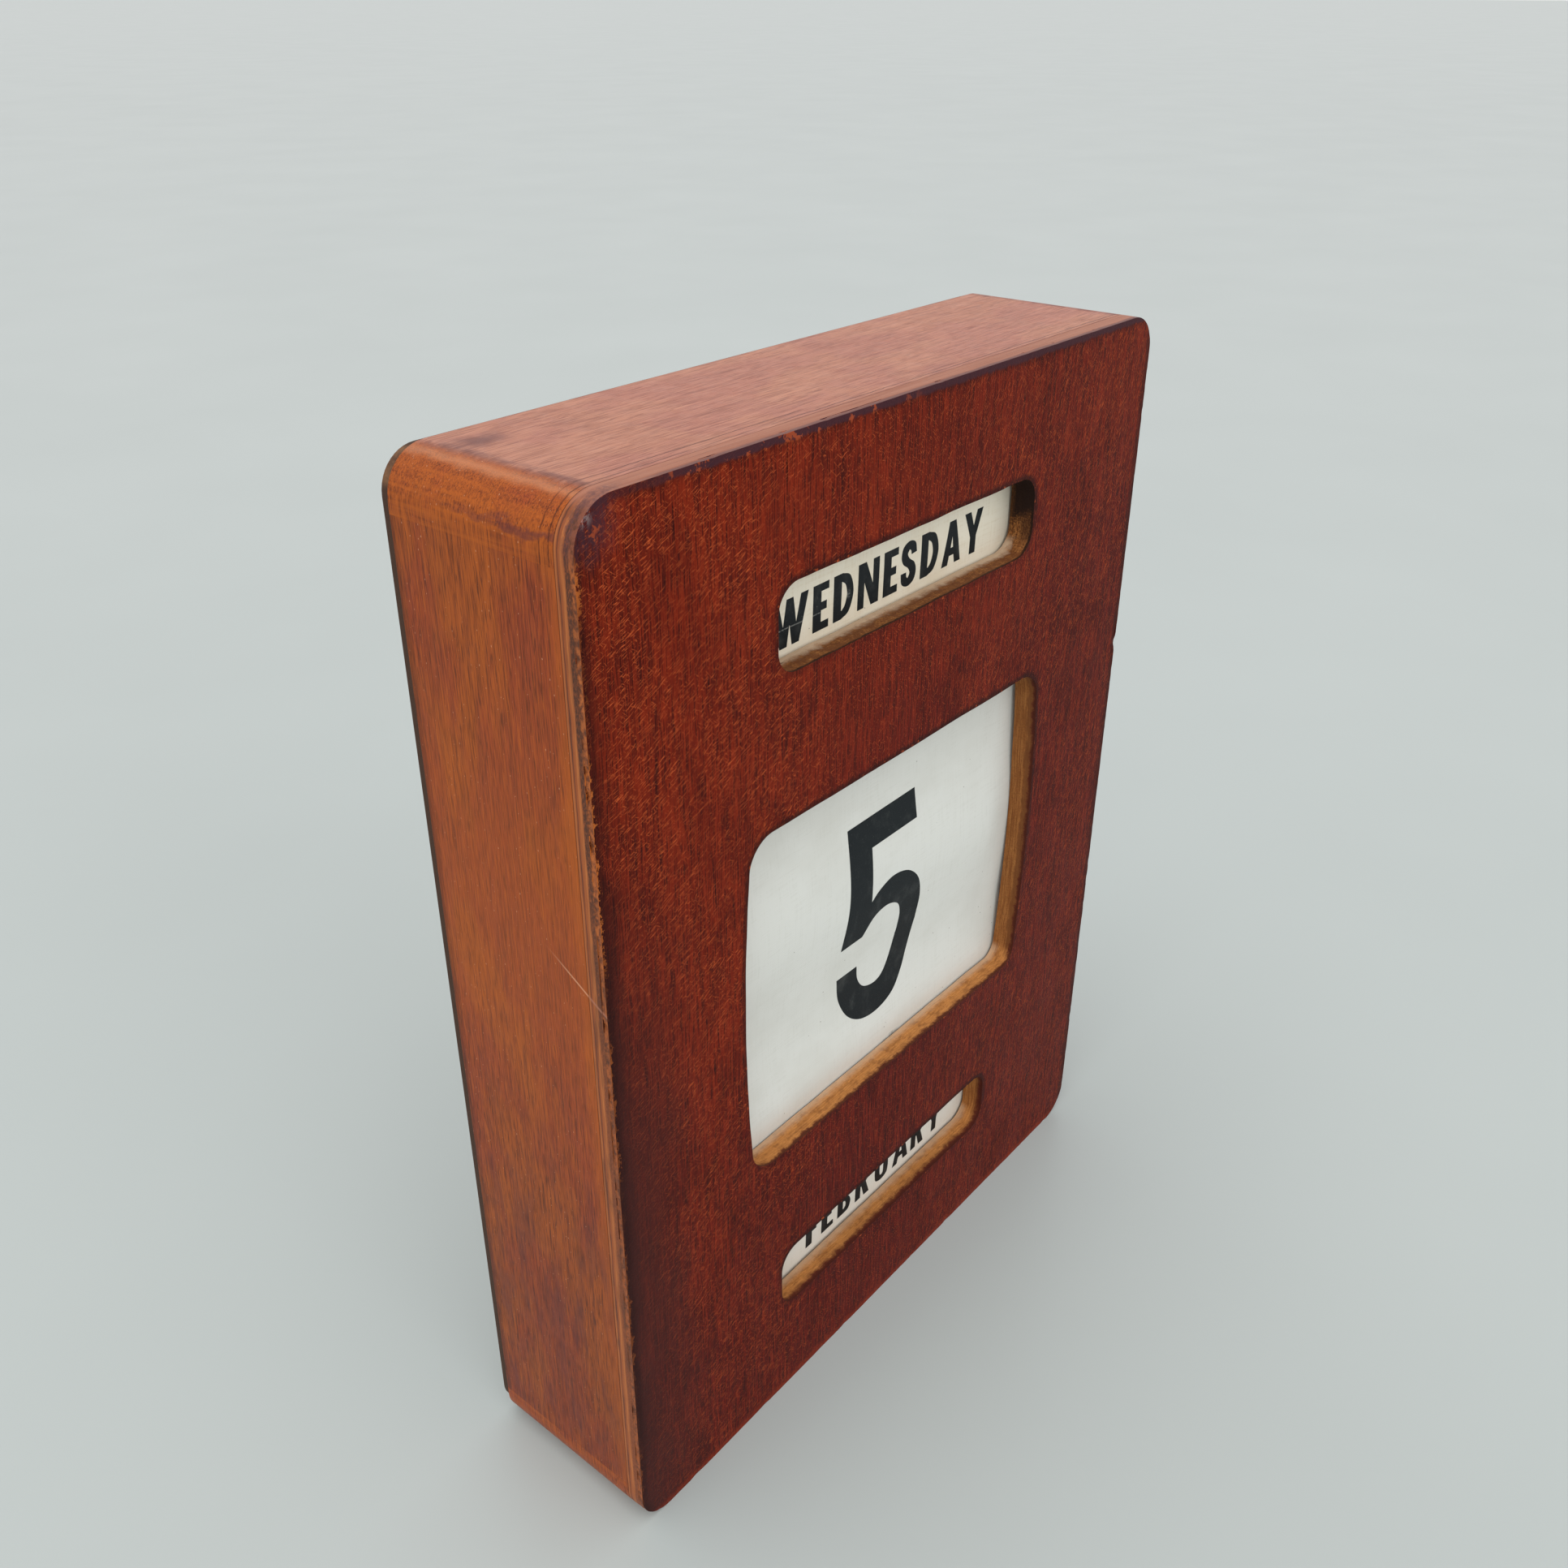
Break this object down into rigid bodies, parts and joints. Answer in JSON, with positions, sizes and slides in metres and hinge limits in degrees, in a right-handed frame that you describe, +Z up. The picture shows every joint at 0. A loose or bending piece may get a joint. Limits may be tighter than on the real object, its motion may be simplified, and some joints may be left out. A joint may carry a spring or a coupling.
{
  "type": "desk calendar",
  "caption": "Shallow wooden case whose front has windows for the day, the date and the month, shown on bands wound between rollers turned by side knobs.",
  "frame": {"origin": "middle of the case's flat underside", "axes": "+X towards the knobs, right as seen from the front; +Y from the windowed front to the back; +Z up"},
  "size_m": [0.2112, 0.052, 0.26],
  "materials": {
    "mahogany_front": "stained plywood under an old crazed gloss lacquer",
    "case_boards": "stained softwood, satin varnish, worn at the edges",
    "hardboard": "plain brown hardboard, matt",
    "fastener_steel": "dull plated steel",
    "cream_band": "printed cream bookbinder's cloth, matt",
    "white_band": "printed off-white glazed cloth, slightly glossy",
    "dowel_wood": "bare turned birch",
    "knob_wood": "turned, stained and varnished",
    "fibre_washer": "red vulcanised fibre"
  },
  "bodies": {
    "case": {"front_panel": "mahogany_front", "top_board": "case_boards", "bottom_board": "case_boards", "left_board": "case_boards", "right_board": "case_boards", "back_panel": "hardboard", "back_screws": "fastener_steel", "case_nails": "fastener_steel"},
    "day_upper_roller": {"day_upper_dowel": "dowel_wood", "day_upper_coil": "cream_band", "day_upper_pin": "fastener_steel", "day_upper_spindle": "fastener_steel", "day_upper_knob": "knob_wood", "day_upper_washer": "fibre_washer"},
    "day_lower_roller": {"day_lower_dowel": "dowel_wood", "day_lower_coil": "cream_band", "day_lower_pin": "fastener_steel", "day_lower_spindle": "fastener_steel", "day_lower_knob": "knob_wood", "day_lower_washer": "fibre_washer"},
    "date_upper_roller": {"date_upper_dowel": "dowel_wood", "date_upper_coil": "white_band", "date_upper_pin": "fastener_steel", "date_upper_spindle": "fastener_steel", "date_upper_knob": "knob_wood", "date_upper_washer": "fibre_washer"},
    "date_lower_roller": {"date_lower_dowel": "dowel_wood", "date_lower_coil": "white_band", "date_lower_pin": "fastener_steel", "date_lower_spindle": "fastener_steel", "date_lower_knob": "knob_wood", "date_lower_washer": "fibre_washer"},
    "month_upper_roller": {"month_upper_dowel": "dowel_wood", "month_upper_coil": "white_band", "month_upper_pin": "fastener_steel", "month_upper_spindle": "fastener_steel", "month_upper_knob": "knob_wood", "month_upper_washer": "fibre_washer"},
    "month_lower_roller": {"month_lower_dowel": "dowel_wood", "month_lower_coil": "white_band", "month_lower_pin": "fastener_steel", "month_lower_spindle": "fastener_steel", "month_lower_knob": "knob_wood", "month_lower_washer": "fibre_washer"},
    "day_flat_band": {"day_band": "cream_band"},
    "date_flat_band": {"date_band": "white_band"},
    "month_flat_band": {"month_band": "white_band"}
  },
  "joints": [
    {"name": "day_lower_turn", "type": "hinge", "parent": "case", "child": "day_lower_roller", "pos_m": [0, -0.01244, 0.2045], "axis": [-1, 0, 0], "range_deg": [-60, 60]},
    {"name": "day_upper_turn", "type": "hinge", "parent": "case", "child": "day_upper_roller", "pos_m": [0, -0.01272, 0.24], "axis": [-1, 0, 0], "range_deg": [-63.2, 63.2]},
    {"name": "day_band_slide", "type": "slide", "parent": "case", "child": "day_flat_band", "axis": [0, 0, 1], "range_m": [-0.00594, 0.00594]},
    {"name": "date_lower_turn", "type": "hinge", "parent": "case", "child": "date_lower_roller", "pos_m": [0, -0.00848, 0.0725], "axis": [-1, 0, 0], "range_deg": [-60, 60]},
    {"name": "date_upper_turn", "type": "hinge", "parent": "case", "child": "date_upper_roller", "pos_m": [0, -0.01206, 0.1875], "axis": [-1, 0, 0], "range_deg": [-95.6, 95.6]},
    {"name": "date_band_slide", "type": "slide", "parent": "case", "child": "date_flat_band", "axis": [0, 0, 1], "range_m": [-0.01008, 0.01008]},
    {"name": "month_lower_turn", "type": "hinge", "parent": "case", "child": "month_lower_roller", "pos_m": [0, -0.01222, 0.02], "axis": [-1, 0, 0], "range_deg": [-60, 60]},
    {"name": "month_upper_turn", "type": "hinge", "parent": "case", "child": "month_upper_roller", "pos_m": [0, -0.01296, 0.0555], "axis": [-1, 0, 0], "range_deg": [-68.8, 68.8]},
    {"name": "month_band_slide", "type": "slide", "parent": "case", "child": "month_flat_band", "axis": [0, 0, 1], "range_m": [-0.00617, 0.00617]}
  ],
  "couplings": [
    {"joint": "day_upper_turn", "follows": "day_lower_turn", "ratio": 1.0529},
    {"joint": "day_band_slide", "follows": "day_lower_turn", "m_per_rad": 0.0056632},
    {"joint": "date_upper_turn", "follows": "date_lower_turn", "ratio": 1.5931},
    {"joint": "date_band_slide", "follows": "date_lower_turn", "m_per_rad": 0.0096211},
    {"joint": "month_upper_turn", "follows": "month_lower_turn", "ratio": 1.1458},
    {"joint": "month_band_slide", "follows": "month_lower_turn", "m_per_rad": 0.0058843}
  ]
}
